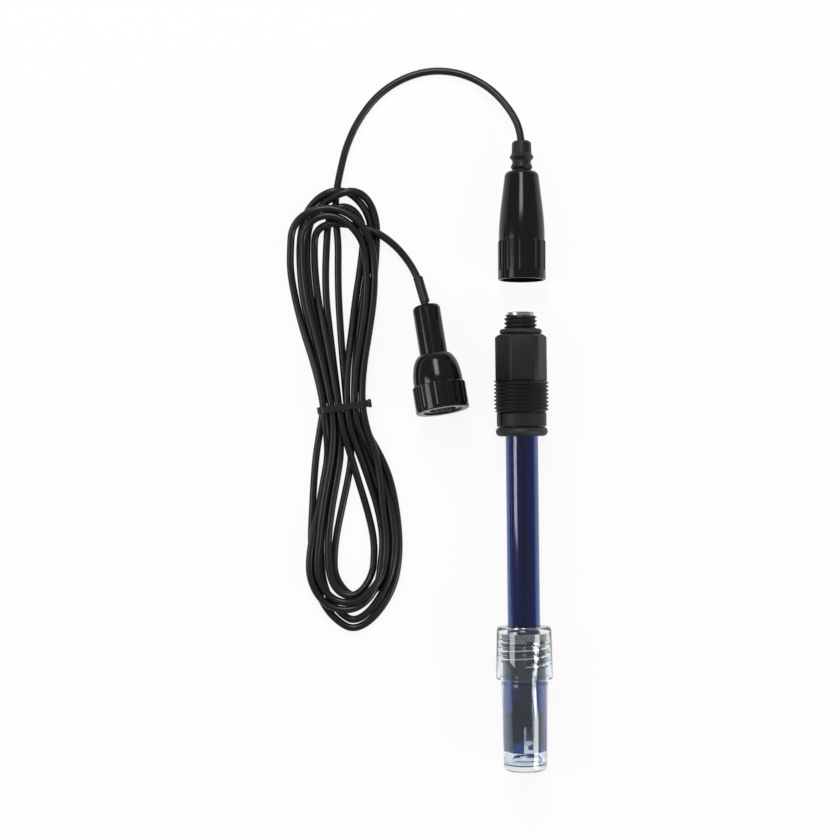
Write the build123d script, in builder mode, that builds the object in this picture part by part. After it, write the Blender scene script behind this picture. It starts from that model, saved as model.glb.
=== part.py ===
# Combination pH electrode with a screw head, its storage vial, and its detachable coaxial lead.
# Millimetres. The electrode lies along Y with its head towards +Y, and the surface it lies on is z = 0.
# The lead lies beside it on the same surface: socket connector, cable tied in a hank, bayonet plug.

import os
from math import cos, pi, radians, sin, tan

from build123d import *

os.makedirs("parts", exist_ok=True)

# Electrode head, from its free end towards the tip
contact_rise = 1.1  # contact ring standing proud of the stub
stub_thread_length = 4.9
stub_thread_diameter = 12.2
stub_neck_length = 2.2  # plain neck that carries the small O-ring
stub_neck_diameter = 11.6
hex_length = 17.4
hex_across_flats = 17.2
hex_turned_diameter = 19.1  # corners turned down
hex_end_bevel = (1.08, 1.35)  # along the axis and across it
hex_turn = 4.3  # degrees that the upper flat leans to the right
process_thread_length = 11.5
process_thread_diameter = 20.4
thread_lead_in = 0.9
stub_lead_in = 0.6
stub_root_depth = 1.0  # of the stub inside the hexagon's end
head_bore_depth = 17.5  # from the seat up to the end of the shaft's socket

# Seals and slide washer under the head
washer_length = 5.2
washer_diameter = 18.4
washer_slit = 1.0
washer_slit_turn = 56.0  # degrees from the top towards the left
washer_play = 0.05
washer_edge = 0.35
stub_seal_section = 2.0
process_seal_section = 3.5
process_seal_diameter = 19.2
seal_clearance = 0.05

# Shaft and what it holds
shaft_diameter = 12.0
shaft_wall = 1.2
immersion_length = 120.0  # from the slide washer to the end of the guard
guard_slot_width = 3.5
guard_slot_depth = 10.4
guard_slot_turn = -10.0  # degrees that the upper slot leans to the right
guard_edge = 0.3
stem_diameter = 6.2
glass_wall = 0.6
bulb_diameter = 8.2
bulb_from_tip = 6.3
bung_length = 5.0
bung_above_seat = 4.0
stem_above_bung = 2.0
junction_ring_length = 5.0
junction_ring_from_tip = 13.5
diaphragm_diameter = 1.0
wire_diameter = 0.8
element_diameter = 1.6
element_length = 9.0
element_above_bulb = 6.0
reference_wire_length = 92.0
fit_clearance = 0.05

# Contacts in the head
contact_ring_diameter = 9.9
contact_ring_wall = 1.1
contact_ring_length = 8.4
insulator_flange = 3.0
insulator_recess = 7.6  # room inside the ring for the lead's centre contact
contact_pin_diameter = 3.4
contact_pin_recess = 1.6
contact_pin_tail = 4.0
contact_ring_edge = 0.2
contact_pin_edge = 0.3

# Storage vial with its screw cap and seal
vial_length = 48.2
vial_floor = 2.3
vial_tip_gap = 4.8  # between the guard and the vial's floor
vial_shoulder_diameter = 17.3
vial_bottom_diameter = 15.9
vial_cavity_mouth = 13.8
vial_cavity_bottom = 12.9
vial_neck_length = 15.6
vial_neck_diameter = 17.6
vial_rim_height = 1.0  # raised rim below the neck
vial_rim_rise = 0.15
vial_groove_length = 3.4  # plain length between the rim and the thread
vial_groove_depth = 0.9
vial_mouth_edge = 0.6
vial_edge_radius = 2.0
vial_cavity_edge = 1.5
cap_wall = 1.4
cap_taper = 0.8  # smaller diameter at its roof
cap_length = 19.2
cap_roof = 2.2
cap_roof_hole = 12.7
cap_edge = 1.0
cap_bore_clearance = 0.3
cap_diameter = vial_neck_diameter + 2 * (cap_bore_clearance + cap_wall)
cap_top_diameter = cap_diameter - cap_taper
vial_seal_thickness = 2.6
vial_seal_diameter = 17.0
vial_seal_clearance = 0.06
vial_seal_edge = 0.4
seat_gap = 0.1

# Cable
cable_diameter = 2.75
cable_bore_clearance = 0.1
corner_share = 0.45  # of a run that the arc at its end may take
arch_root = (47.6, 55.0)  # first two points of the arch, behind the socket connector's mouth
tail_root = (41.2, 33.9)  # last two points of the tail, behind the bayonet plug's mouth

# Socket connector on the lead, measured from its mouth
socket_mouth = (0.7, 96.7)
socket_yaw = 0.64  # degrees, its tail leaning to the right
socket_tilt = 2.0  # degrees, its tail sinking
socket_length = 40.3
grip_length = 14.6
grip_collar = 3.4
grip_diameter = 17.7
grip_edge = 0.3
shell_waist = ((0, 8.5), (0.366, 8.1), (0.712, 7.05), (0.938, 6.35))  # share from grip to end, radius
shell_end_radius = 5.0
shell_end_round = 1.9
flute_count = 14
flute_radius = 2.4
flute_depth = 0.45
flute_run_out = 0.9  # of the flutes behind the grip
socket_seal_bore = 15.9
socket_seal_depth = 2.6
socket_thread_bore = 12.5
socket_head_depth = 24.0
socket_rear_bore = 9.8
socket_rear_wall = 3.2
socket_rear_hole = 8.2
running_clearance = 0.08
insert_end_play = 0.2
insert_from_mouth = 8.7
spring_ring_diameter = 9.9
spring_ring_wall = 0.6
spring_ring_length = 8.5
centre_socket_diameter = 5.4
centre_socket_bore = 3.7
centre_socket_depth = 8.0
centre_socket_length = 15.0
spring_ring_from_mouth = 8.35
centre_socket_from_mouth = 1.3

# Rubber boot behind the socket connector
boot_length = 11.5
boot_neck_diameter = 6.9
boot_ridges = (  # behind the shell, diameter
    (0.6, 6.9), (1.7, 8.2), (3.2, 6.9), (4.0, 6.9), (5.4, 9.0), (6.8, 7.4), (10.8, 7.1), (11.5, 5.4),
)
boot_root_length = 5.0  # part of the boot that sits inside the shell

# Bayonet plug, measured from its mouth
plug_mouth = (-29.1, 48.5)
plug_yaw = -8.47
plug_tilt = 8.8
plug_length = 40.3
plug_grip_diameter = 19.9
plug_grip_length = 9.8
plug_grip_collar = 1.4
plug_bell_length = 21.6
plug_edge = 0.3
plug_bell = ((0, 9.15), (0.22, 9.15), (0.568, 8.55), (0.814, 7.5), (0.958, 6.2))  # share along it, radius
bayonet_diameter = 14.4
bayonet_bore = 9.9
bayonet_length = 12.9
bayonet_recess = 0.6
bayonet_slot_width = 2.4
bayonet_slot_depth = 0.7
bayonet_slot_length = 8.0
bayonet_slot_turn = 35  # degrees
journal_diameter = 8.1
contact_finger_bore = 6.9
contact_finger_recess = 1.4
contact_finger_slits = 4
contact_finger_slit = 0.5
contact_finger_length = 5.5
plug_flange_diameter = 9.6
plug_flange_from_mouth = 9.0
plug_flange_thickness = 1.0
plug_washer_thickness = 0.8
plug_washer_play = 0.1
plug_gasket_thickness = 1.4
plug_rear_diameter = 9.0
plug_rear_length = 6.0
plug_cover_diameter = 10.3
plug_cover_wall = 0.55
plug_cover_from_mouth = 14.9
plug_cover_end_wall = 2.3
plug_cover_hole = 4.4
plug_cover_edge = (1.4, 0.45)
plug_insulator_from_mouth = 4.2
plug_insulator_length = 10.0
plug_pin_diameter = 1.35
plug_pin_from_mouth = 1.8
plug_pin_length = 18.0
plug_pin_edge = 0.35
ferrule_outer = 4.8
ferrule_length = 12.5
sleeve_diameter = 3.6
sleeve_bore = 3.15
sleeve_gap = 0.4
sleeve_end_gap = 1.5

# Hank and its tie
hank_layers = 3
hank_floor_gap = 0.05
tie_centre = (-66.1, 50.4)
tie_turn = 8.0  # degrees that the tie rises towards the right
tie_band_width = 2.6
tie_band_thickness = 1.2
tie_inner_width = 17.4
tie_inner_height = 5.5
tie_corner_radius = 2.2
tie_button_diameter = 3.2
tie_button_length = 0.7
tie_button_round = 0.5

# Stations along the electrode, worked out from the lengths above
overall_length = (
    contact_rise + stub_thread_length + stub_neck_length + hex_length + process_thread_length
    + washer_length + immersion_length + vial_tip_gap + vial_floor
)
axis_height = cap_diameter / 2
stub_top = overall_length / 2 - contact_rise
stub_neck_top = stub_top - stub_thread_length
hex_top = stub_neck_top - stub_neck_length
thread_top = hex_top - hex_length
seat = thread_top - process_thread_length
washer_end = seat - washer_length
tip = washer_end - immersion_length
shaft_top = seat + head_bore_depth
vial_bottom = -overall_length / 2
vial_shoulder = vial_bottom + vial_length - vial_neck_length
neck_top = vial_bottom + vial_length
vial_seal_top = neck_top + seat_gap + vial_seal_thickness
cap_top = vial_seal_top + seat_gap + cap_roof
cap_bottom = cap_top - cap_length
shaft_bore = shaft_diameter - 2 * shaft_wall

profile_plane = Plane(origin=(0, 0, axis_height), x_dir=(0, 1, 0), z_dir=(1, 0, 0))
electrode_axis = Axis((0, 0, axis_height), (0, 1, 0))


def across(y):
    """Plane across the electrode at y, its own y axis upwards, facing the head."""
    return Plane(origin=(0, y, axis_height), x_dir=(-1, 0, 0), z_dir=(0, 1, 0))


def ring(start, end, inner, outer):
    """Corners of a ring's section: from start to end along the axis, between two diameters."""
    return [(start, inner / 2), (end, inner / 2), (end, outer / 2), (start, outer / 2)]


# Head: stub, hexagon and process thread moulded in one piece
with BuildPart() as head_body:
    with BuildSketch(across(thread_top)):
        RegularPolygon(hex_across_flats / 2, 6, major_radius=False, rotation=hex_turn)
    extrude(amount=hex_length)
    with BuildSketch(profile_plane):
        Polygon(
            (thread_top, 0), (hex_top, 0), (hex_top, hex_turned_diameter / 2 - hex_end_bevel[1]),
            (hex_top - hex_end_bevel[0], hex_turned_diameter / 2),
            (thread_top, hex_turned_diameter / 2), align=None,
        )
    revolve(axis=electrode_axis, mode=Mode.INTERSECT)
    with BuildSketch(profile_plane):
        Polygon(
            (thread_top, 0), (thread_top, process_thread_diameter / 2 - thread_lead_in),
            (thread_top - thread_lead_in, process_thread_diameter / 2),
            (seat + thread_lead_in, process_thread_diameter / 2),
            (seat, process_thread_diameter / 2 - thread_lead_in), (seat, 0), align=None,
        )
        Polygon(*ring(hex_top - stub_root_depth, stub_neck_top, 0, stub_neck_diameter), align=None)
        Polygon(
            (stub_neck_top, 0), (stub_neck_top, stub_thread_diameter / 2),
            (stub_top - stub_lead_in, stub_thread_diameter / 2),
            (stub_top, stub_thread_diameter / 2 - stub_lead_in), (stub_top, 0), align=None,
        )
    revolve(axis=electrode_axis)
    with BuildSketch(profile_plane):
        ring_seat = stub_top + contact_rise - contact_ring_length
        contact_bore = contact_ring_diameter + 2 * fit_clearance
        Polygon(*ring(ring_seat - insulator_flange, stub_top, 0, contact_bore), align=None)
        Polygon(*ring(seat, shaft_top, 0, shaft_diameter + 2 * fit_clearance), align=None)
        Polygon(*ring(shaft_top, ring_seat - insulator_flange, 0, shaft_bore), align=None)
    revolve(axis=electrode_axis, mode=Mode.SUBTRACT)
head_body.part.label = "head_body"
export_step(head_body.part, "parts/head_body.step")

# Contact ring, insulator and centre pin in the stub
with BuildPart() as head_contact_ring:
    ring_bore = contact_ring_diameter - 2 * contact_ring_wall
    with BuildSketch(profile_plane):
        Polygon(*ring(ring_seat, stub_top + contact_rise, ring_bore, contact_ring_diameter), align=None)
    revolve(axis=electrode_axis)
    chamfer(head_contact_ring.edges().filter_by(GeomType.CIRCLE).group_by(Axis.Y)[-1], contact_ring_edge)
head_contact_ring.part.label = "head_contact_ring"
export_step(head_contact_ring.part, "parts/head_contact_ring.step")

wire_radius_place = (shaft_bore / 2 + stem_diameter / 2) / 2  # middle of the reference chamber
with BuildPart() as head_insulator:
    insulator_end = stub_top + contact_rise - insulator_recess
    with BuildSketch(profile_plane):
        Polygon(
            (ring_seat - insulator_flange, contact_pin_diameter / 2 + fit_clearance),
            (insulator_end, contact_pin_diameter / 2 + fit_clearance),
            (insulator_end, ring_bore / 2 - fit_clearance), (ring_seat, ring_bore / 2 - fit_clearance),
            (ring_seat, contact_ring_diameter / 2), (ring_seat - insulator_flange, contact_ring_diameter / 2),
            align=None,
        )
    revolve(axis=electrode_axis)
    with BuildSketch(across(ring_seat - insulator_flange)):
        with Locations((0, wire_radius_place)):
            Circle(wire_diameter / 2 + fit_clearance)
    extrude(amount=insulator_flange, mode=Mode.SUBTRACT)
head_insulator.part.label = "head_insulator"
export_step(head_insulator.part, "parts/head_insulator.step")

contact_pin_end = stub_top + contact_rise - contact_pin_recess
contact_pin_start = ring_seat - insulator_flange - contact_pin_tail
with BuildPart() as head_contact_pin:
    with BuildSketch(across(contact_pin_start)):
        Circle(contact_pin_diameter / 2)
    extrude(amount=contact_pin_end - contact_pin_start)
    chamfer(head_contact_pin.edges().group_by(Axis.Y)[-1], contact_pin_edge)
head_contact_pin.part.label = "head_contact_pin"
export_step(head_contact_pin.part, "parts/head_contact_pin.step")

# O-ring on the stub's neck
with BuildPart() as stub_seal:
    stub_seal_place = stub_neck_diameter / 2 + seal_clearance + stub_seal_section / 2
    with BuildSketch(profile_plane):
        with Locations((hex_top + seal_clearance + stub_seal_section / 2, stub_seal_place)):
            Circle(stub_seal_section / 2)
    revolve(axis=electrode_axis)
stub_seal.part.label = "stub_seal"
export_step(stub_seal.part, "parts/stub_seal.step")

# Split slide washer that turns between the head and the process seal
with BuildPart() as slide_washer:
    with BuildSketch(profile_plane):
        Polygon(
            *ring(washer_end, seat - washer_play, shaft_diameter + 2 * running_clearance, washer_diameter),
            align=None,
        )
    revolve(axis=electrode_axis)
    chamfer(slide_washer.edges().filter_by(GeomType.CIRCLE).sort_by(SortBy.RADIUS)[-2:], washer_edge)
    with BuildSketch(across(washer_end)):
        with Locations(Location((0, 0, 0), (0, 0, -washer_slit_turn))):
            with Locations((0, washer_diameter / 2)):
                Rectangle(washer_slit, washer_diameter - shaft_diameter + washer_slit)
    extrude(amount=washer_length, mode=Mode.SUBTRACT)
slide_washer.part.label = "slide_washer"
export_step(slide_washer.part, "parts/slide_washer.step")

# Process O-ring
with BuildPart() as process_seal:
    process_seal_bore = process_seal_diameter - 2 * process_seal_section
    with BuildSketch(profile_plane):
        process_seal_place = (process_seal_bore + process_seal_section) / 2
        with Locations((washer_end - seal_clearance - process_seal_section / 2, process_seal_place)):
            Circle(process_seal_section / 2)
    revolve(axis=electrode_axis)
process_seal.part.label = "process_seal"
export_step(process_seal.part, "parts/process_seal.step")

# Shaft: one tube whose end is the guard, with a slot above and below the bulb
with BuildPart() as shaft:
    with BuildSketch(profile_plane):
        Polygon(*ring(tip, shaft_top - fit_clearance, shaft_bore, shaft_diameter), align=None)
    revolve(axis=electrode_axis)
    chamfer(shaft.edges().filter_by(GeomType.CIRCLE).group_by(Axis.Y)[0], guard_edge)
    slot_straight = guard_slot_depth - guard_slot_width / 2
    slot_plane = Plane(
        origin=(0, tip, axis_height), x_dir=(0, 1, 0),
        z_dir=(sin(radians(-guard_slot_turn)), 0, cos(radians(guard_slot_turn))),
    )
    with BuildSketch(slot_plane):
        with Locations((slot_straight / 2, 0)):
            Rectangle(slot_straight, guard_slot_width)
        with Locations((slot_straight, 0)):
            Circle(guard_slot_width / 2)
    extrude(amount=shaft_diameter, both=True, mode=Mode.SUBTRACT)
shaft.part.label = "shaft"
export_step(shaft.part, "parts/shaft.step")

# Measuring glass: stem and blown bulb
bulb_centre = tip + bulb_from_tip
stem_top = seat + bung_above_seat + bung_length + stem_above_bung
with BuildPart() as glass_electrode:
    with BuildSketch(profile_plane):
        with Locations((bulb_centre, 0)):
            Circle(bulb_diameter / 2)
        Polygon(*ring(bulb_centre, stem_top, 0, stem_diameter), align=None)
        with Locations((bulb_centre, 0)):
            Circle(bulb_diameter / 2 - glass_wall, mode=Mode.SUBTRACT)
        stem_bore = stem_diameter - 2 * glass_wall
        Polygon(*ring(bulb_centre, stem_top, 0, stem_bore), align=None, mode=Mode.SUBTRACT)
        Polygon(
            (tip, 0), (stem_top, 0), (stem_top, -bulb_diameter), (tip, -bulb_diameter),
            align=None, mode=Mode.SUBTRACT,
        )
    revolve(axis=electrode_axis)
glass_electrode.part.label = "glass_electrode"
export_step(glass_electrode.part, "parts/glass_electrode.step")

# Silver wire and its coated element inside the glass, up to the centre pin
with BuildPart() as measuring_wire:
    element_bottom = bulb_centre + bulb_diameter / 2 + element_above_bulb
    with BuildSketch(across(element_bottom)):
        Circle(element_diameter / 2)
    extrude(amount=element_length)
    with BuildSketch(across(element_bottom)):
        Circle(wire_diameter / 2)
    extrude(amount=contact_pin_start - fit_clearance - element_bottom)
measuring_wire.part.label = "measuring_wire"
export_step(measuring_wire.part, "parts/measuring_wire.step")

# Reference wire in the outer chamber, up to the contact ring
with BuildPart() as reference_wire:
    with BuildSketch(across(ring_seat - fit_clearance)):
        with Locations((0, wire_radius_place)):
            Circle(wire_diameter / 2)
    extrude(amount=-reference_wire_length)
reference_wire.part.label = "reference_wire"
export_step(reference_wire.part, "parts/reference_wire.step")

# Bung that closes the chamber inside the head
with BuildPart() as upper_bung:
    with BuildSketch(across(seat + bung_above_seat)):
        Circle(shaft_bore / 2 - fit_clearance)
        Circle(stem_diameter / 2 + fit_clearance, mode=Mode.SUBTRACT)
        with Locations((0, wire_radius_place)):
            Circle(wire_diameter / 2 + fit_clearance, mode=Mode.SUBTRACT)
    extrude(amount=bung_length)
upper_bung.part.label = "upper_bung"
export_step(upper_bung.part, "parts/upper_bung.step")

# Ring above the bulb that centres the glass and carries the diaphragm
with BuildPart() as junction_ring:
    with BuildSketch(across(tip + junction_ring_from_tip)):
        Circle(shaft_bore / 2 - fit_clearance)
        Circle(stem_diameter / 2 + fit_clearance, mode=Mode.SUBTRACT)
        with Locations((0, wire_radius_place)):
            Circle(diaphragm_diameter / 2 + fit_clearance / 2, mode=Mode.SUBTRACT)
    extrude(amount=junction_ring_length)
junction_ring.part.label = "junction_ring"
export_step(junction_ring.part, "parts/junction_ring.step")

with BuildPart() as diaphragm:
    with BuildSketch(across(tip + junction_ring_from_tip)):
        with Locations((0, wire_radius_place)):
            Circle(diaphragm_diameter / 2)
    extrude(amount=junction_ring_length)
diaphragm.part.label = "diaphragm"
export_step(diaphragm.part, "parts/diaphragm.step")

# Storage vial over the tip
with BuildPart() as storage_vial:
    with BuildSketch(profile_plane):
        groove_top = vial_shoulder + vial_groove_length
        neck_radius = vial_neck_diameter / 2
        shoulder_radius = vial_shoulder_diameter / 2
        Polygon(
            (vial_bottom, 0), (vial_bottom, vial_bottom_diameter / 2),
            (vial_shoulder - vial_rim_height - vial_rim_rise, shoulder_radius - vial_rim_rise),
            (vial_shoulder - vial_rim_height, shoulder_radius), (vial_shoulder, shoulder_radius),
            (vial_shoulder, neck_radius - vial_groove_depth), (groove_top, neck_radius - vial_groove_depth),
            (groove_top + vial_groove_depth, neck_radius), (neck_top - vial_mouth_edge, neck_radius),
            (neck_top, neck_radius - vial_mouth_edge), (neck_top, 0), align=None,
        )
    revolve(axis=electrode_axis)
    fillet(storage_vial.edges().filter_by(GeomType.CIRCLE).group_by(Axis.Y)[0], vial_edge_radius)
    with BuildSketch(profile_plane):
        cavity_bottom = vial_bottom + vial_floor
        Polygon(
            (cavity_bottom, 0), (cavity_bottom, vial_cavity_bottom / 2 - vial_cavity_edge),
            (cavity_bottom + vial_cavity_edge, vial_cavity_bottom / 2), (neck_top, vial_cavity_mouth / 2),
            (neck_top, 0), align=None,
        )
    revolve(axis=electrode_axis, mode=Mode.SUBTRACT)
storage_vial.part.label = "storage_vial"
export_step(storage_vial.part, "parts/storage_vial.step")

# Ring that seals the vial on the shaft
with BuildPart() as vial_seal:
    vial_seal_bore = shaft_diameter + 2 * vial_seal_clearance
    with BuildSketch(profile_plane):
        Polygon(*ring(neck_top + seat_gap, vial_seal_top, vial_seal_bore, vial_seal_diameter), align=None)
    revolve(axis=electrode_axis)
    chamfer(vial_seal.edges().filter_by(GeomType.CIRCLE).sort_by(SortBy.RADIUS)[-2:], vial_seal_edge)
vial_seal.part.label = "vial_seal"
export_step(vial_seal.part, "parts/vial_seal.step")

# Screw cap of the vial, open in the middle for the shaft
with BuildPart() as vial_cap:
    cap_bore = vial_neck_diameter + 2 * cap_bore_clearance
    with BuildSketch(profile_plane):
        Polygon(
            (cap_bottom, cap_bore / 2), (cap_top - cap_roof, cap_bore / 2),
            (cap_top - cap_roof, cap_roof_hole / 2), (cap_top, cap_roof_hole / 2),
            (cap_top, cap_top_diameter / 2 - cap_edge), (cap_top - cap_edge, cap_top_diameter / 2),
            (cap_bottom, cap_diameter / 2), align=None,
        )
    revolve(axis=electrode_axis)
vial_cap.part.label = "vial_cap"
export_step(vial_cap.part, "parts/vial_cap.step")


def lying_frame(mouth, yaw, tilt, height):
    """Plane of a lying connector's section: origin in its mouth, x along its axis to the tail, y upwards."""
    side = (cos(radians(yaw)), -sin(radians(yaw)), 0)
    level = cos(radians(tilt))
    back = (sin(radians(yaw)) * level, cos(radians(yaw)) * level, -sin(radians(tilt)))
    return Plane(origin=(mouth[0], mouth[1], height), x_dir=back, z_dir=side)


def on_axis(frame, along):
    """Point of a connector's axis at this distance behind its mouth."""
    return frame.origin + frame.x_dir * along


def across_frame(frame, along):
    """Plane across a connector's axis, its own y axis upwards, facing the tail."""
    return Plane(origin=on_axis(frame, along), x_dir=-frame.z_dir, z_dir=frame.x_dir)


# The socket connector rests on the rear edge of its grip
socket_height = grip_diameter / 2 * cos(radians(socket_tilt)) + grip_length * sin(radians(socket_tilt))
socket_frame = lying_frame(socket_mouth, socket_yaw, socket_tilt, socket_height)
socket_axis = Axis(socket_frame.origin, socket_frame.x_dir)

with BuildPart() as lead_shell:
    with BuildSketch(socket_frame):
        with BuildLine():
            grip_radius = grip_diameter / 2
            body_length = socket_length - grip_length
            shell_side = [(grip_length + share * body_length, radius) for share, radius in shell_waist]
            Polyline(
                (0, 0), (0, grip_radius - grip_edge), (grip_edge, grip_radius),
                (grip_length - grip_edge, grip_radius), shell_side[0],
            )
            body_side = Spline(*shell_side)
            body_end = (socket_length, shell_end_radius)
            RadiusArc(body_side @ 1, body_end, shell_end_round)
            Polyline(body_end, (socket_length, 0), (0, 0))
        make_face()
    revolve(axis=socket_axis)
    with BuildSketch(across_frame(socket_frame, grip_collar)):
        with PolarLocations(grip_radius + flute_radius - flute_depth, flute_count):
            Circle(flute_radius)
    extrude(amount=grip_length - grip_collar + flute_run_out, mode=Mode.SUBTRACT)
    with BuildSketch(socket_frame):
        head_end = socket_head_depth
        rear_end = socket_length - socket_rear_wall
        Polygon(*ring(0, socket_seal_depth, 0, socket_seal_bore), align=None)
        Polygon(*ring(socket_seal_depth, head_end, 0, socket_thread_bore), align=None)
        Polygon(*ring(head_end, rear_end, 0, socket_rear_bore), align=None)
        Polygon(*ring(rear_end, socket_length, 0, socket_rear_hole), align=None)
    revolve(axis=socket_axis, mode=Mode.SUBTRACT)
lead_shell.part.label = "lead_shell"
export_step(lead_shell.part, "parts/lead_shell.step")

# Insert that carries the contacts and holds the shell by its shoulder
with BuildPart() as lead_insert:
    insert_head = socket_thread_bore - 2 * running_clearance
    insert_rear = socket_rear_bore - 2 * running_clearance
    with BuildSketch(socket_frame):
        Polygon(
            *ring(insert_from_mouth, head_end - running_clearance, 0, insert_head), align=None,
        )
        Polygon(*ring(head_end - running_clearance, rear_end - insert_end_play, 0, insert_rear), align=None)
    revolve(axis=socket_axis)
    with BuildSketch(socket_frame):
        spring_seat = spring_ring_from_mouth + spring_ring_length
        centre_seat = centre_socket_from_mouth + centre_socket_length
        centre_bore = centre_socket_diameter + 2 * fit_clearance
        spring_groove = spring_ring_diameter - 2 * spring_ring_wall - 2 * fit_clearance
        spring_bore = spring_ring_diameter + 2 * fit_clearance
        boot_root_start = socket_length - boot_root_length
        boot_root_bore = boot_neck_diameter + 2 * fit_clearance
        Polygon(*ring(insert_from_mouth, spring_seat, spring_groove, spring_bore), align=None)
        Polygon(*ring(insert_from_mouth, centre_seat, 0, centre_bore), align=None)
        Polygon(*ring(boot_root_start, rear_end, 0, boot_root_bore), align=None)
        Polygon(*ring(centre_seat, boot_root_start, 0, cable_diameter + cable_bore_clearance), align=None)
    revolve(axis=socket_axis, mode=Mode.SUBTRACT)
lead_insert.part.label = "lead_insert"
export_step(lead_insert.part, "parts/lead_insert.step")

with BuildPart() as lead_ring_contact:
    spring_bore_inner = spring_ring_diameter - 2 * spring_ring_wall
    with BuildSketch(socket_frame):
        Polygon(
            *ring(spring_ring_from_mouth, spring_seat, spring_bore_inner, spring_ring_diameter), align=None,
        )
    revolve(axis=socket_axis)
    with BuildSketch(across_frame(socket_frame, spring_ring_from_mouth)):
        Rectangle(1.1 * spring_ring_diameter, contact_finger_slit)
        Rectangle(contact_finger_slit, 1.1 * spring_ring_diameter)
    extrude(amount=contact_finger_length, mode=Mode.SUBTRACT)
lead_ring_contact.part.label = "lead_ring_contact"
export_step(lead_ring_contact.part, "parts/lead_ring_contact.step")

with BuildPart() as lead_centre_contact:
    with BuildSketch(socket_frame):
        centre_front = centre_socket_from_mouth
        Polygon(*ring(centre_front, centre_seat, centre_socket_bore, centre_socket_diameter), align=None)
        centre_floor = centre_front + centre_socket_depth
        Polygon(*ring(centre_floor, centre_seat, 0, centre_socket_bore), align=None)
    revolve(axis=socket_axis)
    with BuildSketch(across_frame(socket_frame, centre_socket_from_mouth)):
        Rectangle(1.1 * centre_socket_diameter, contact_finger_slit)
        Rectangle(contact_finger_slit, 1.1 * centre_socket_diameter)
    extrude(amount=contact_finger_length, mode=Mode.SUBTRACT)
lead_centre_contact.part.label = "lead_centre_contact"
export_step(lead_centre_contact.part, "parts/lead_centre_contact.step")

# Ribbed rubber boot
with BuildPart() as lead_boot:
    with BuildSketch(socket_frame):
        boot_bore = cable_diameter / 2 + cable_bore_clearance
        boot_side = [(socket_length + along, diameter / 2) for along, diameter in boot_ridges]
        Polygon(
            (boot_root_start, boot_bore), (boot_root_start, boot_neck_diameter / 2), *boot_side,
            (socket_length + boot_length, boot_bore), align=None,
        )
    revolve(axis=socket_axis)
lead_boot.part.label = "lead_boot"
export_step(lead_boot.part, "parts/lead_boot.step")

# The bayonet plug rests on the rear edge of its grip and on its tail
plug_height = plug_grip_diameter / 2 * cos(radians(plug_tilt)) + plug_grip_length * sin(radians(plug_tilt))
plug_frame = lying_frame(plug_mouth, plug_yaw, plug_tilt, plug_height)
plug_axis = Axis(plug_frame.origin, plug_frame.x_dir)

with BuildPart() as plug_grip:
    with BuildSketch(plug_frame):
        with BuildLine():
            plug_radius = plug_grip_diameter / 2
            bell_length = plug_bell_length - plug_grip_length
            bell_stations = [(plug_grip_length + share * bell_length, radius) for share, radius in plug_bell]
            Polyline(
                (0, 0), (0, plug_radius - plug_edge), (plug_edge, plug_radius),
                (plug_grip_length - plug_edge, plug_radius), (plug_grip_length, plug_radius - plug_edge),
                bell_stations[0],
            )
            bell_side = Spline(*bell_stations)
            bell_end = (plug_bell_length, plug_cover_diameter / 2 + running_clearance)
            Polyline(bell_side @ 1, bell_end, (plug_bell_length, 0), (0, 0))
        make_face()
    revolve(axis=plug_axis)
    with BuildSketch(across_frame(plug_frame, plug_grip_collar)):
        with PolarLocations(plug_radius + flute_radius - flute_depth, flute_count):
            Circle(flute_radius)
    extrude(amount=plug_grip_length, mode=Mode.SUBTRACT)
    with BuildSketch(plug_frame):
        bayonet_end = bayonet_recess + bayonet_length
        Polygon(*ring(0, bayonet_end, 0, bayonet_diameter + 2 * fit_clearance), align=None)
        Polygon(
            *ring(bayonet_end, plug_bell_length, 0, plug_cover_diameter + 2 * running_clearance), align=None,
        )
    revolve(axis=plug_axis, mode=Mode.SUBTRACT)
plug_grip.part.label = "plug_grip"
export_step(plug_grip.part, "parts/plug_grip.step")

# Metal bayonet sleeve inside the grip, with two entry slots for the jack's lugs
with BuildPart() as bayonet_sleeve:
    flange_end = plug_flange_from_mouth + plug_flange_thickness
    sleeve_wall_start = flange_end + plug_washer_thickness + 2 * plug_washer_play
    journal_hole = journal_diameter + 2 * running_clearance
    with BuildSketch(plug_frame):
        Polygon(*ring(bayonet_recess, bayonet_end, bayonet_bore, bayonet_diameter), align=None)
        Polygon(*ring(sleeve_wall_start, bayonet_end, journal_hole, bayonet_diameter), align=None)
    revolve(axis=plug_axis)
    with BuildSketch(across_frame(plug_frame, bayonet_recess)):
        with PolarLocations(bayonet_bore / 2, 2, start_angle=bayonet_slot_turn):
            Rectangle(2 * bayonet_slot_depth, bayonet_slot_width)
    extrude(amount=bayonet_slot_length, mode=Mode.SUBTRACT)
bayonet_sleeve.part.label = "bayonet_sleeve"
export_step(bayonet_sleeve.part, "parts/bayonet_sleeve.step")

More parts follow.
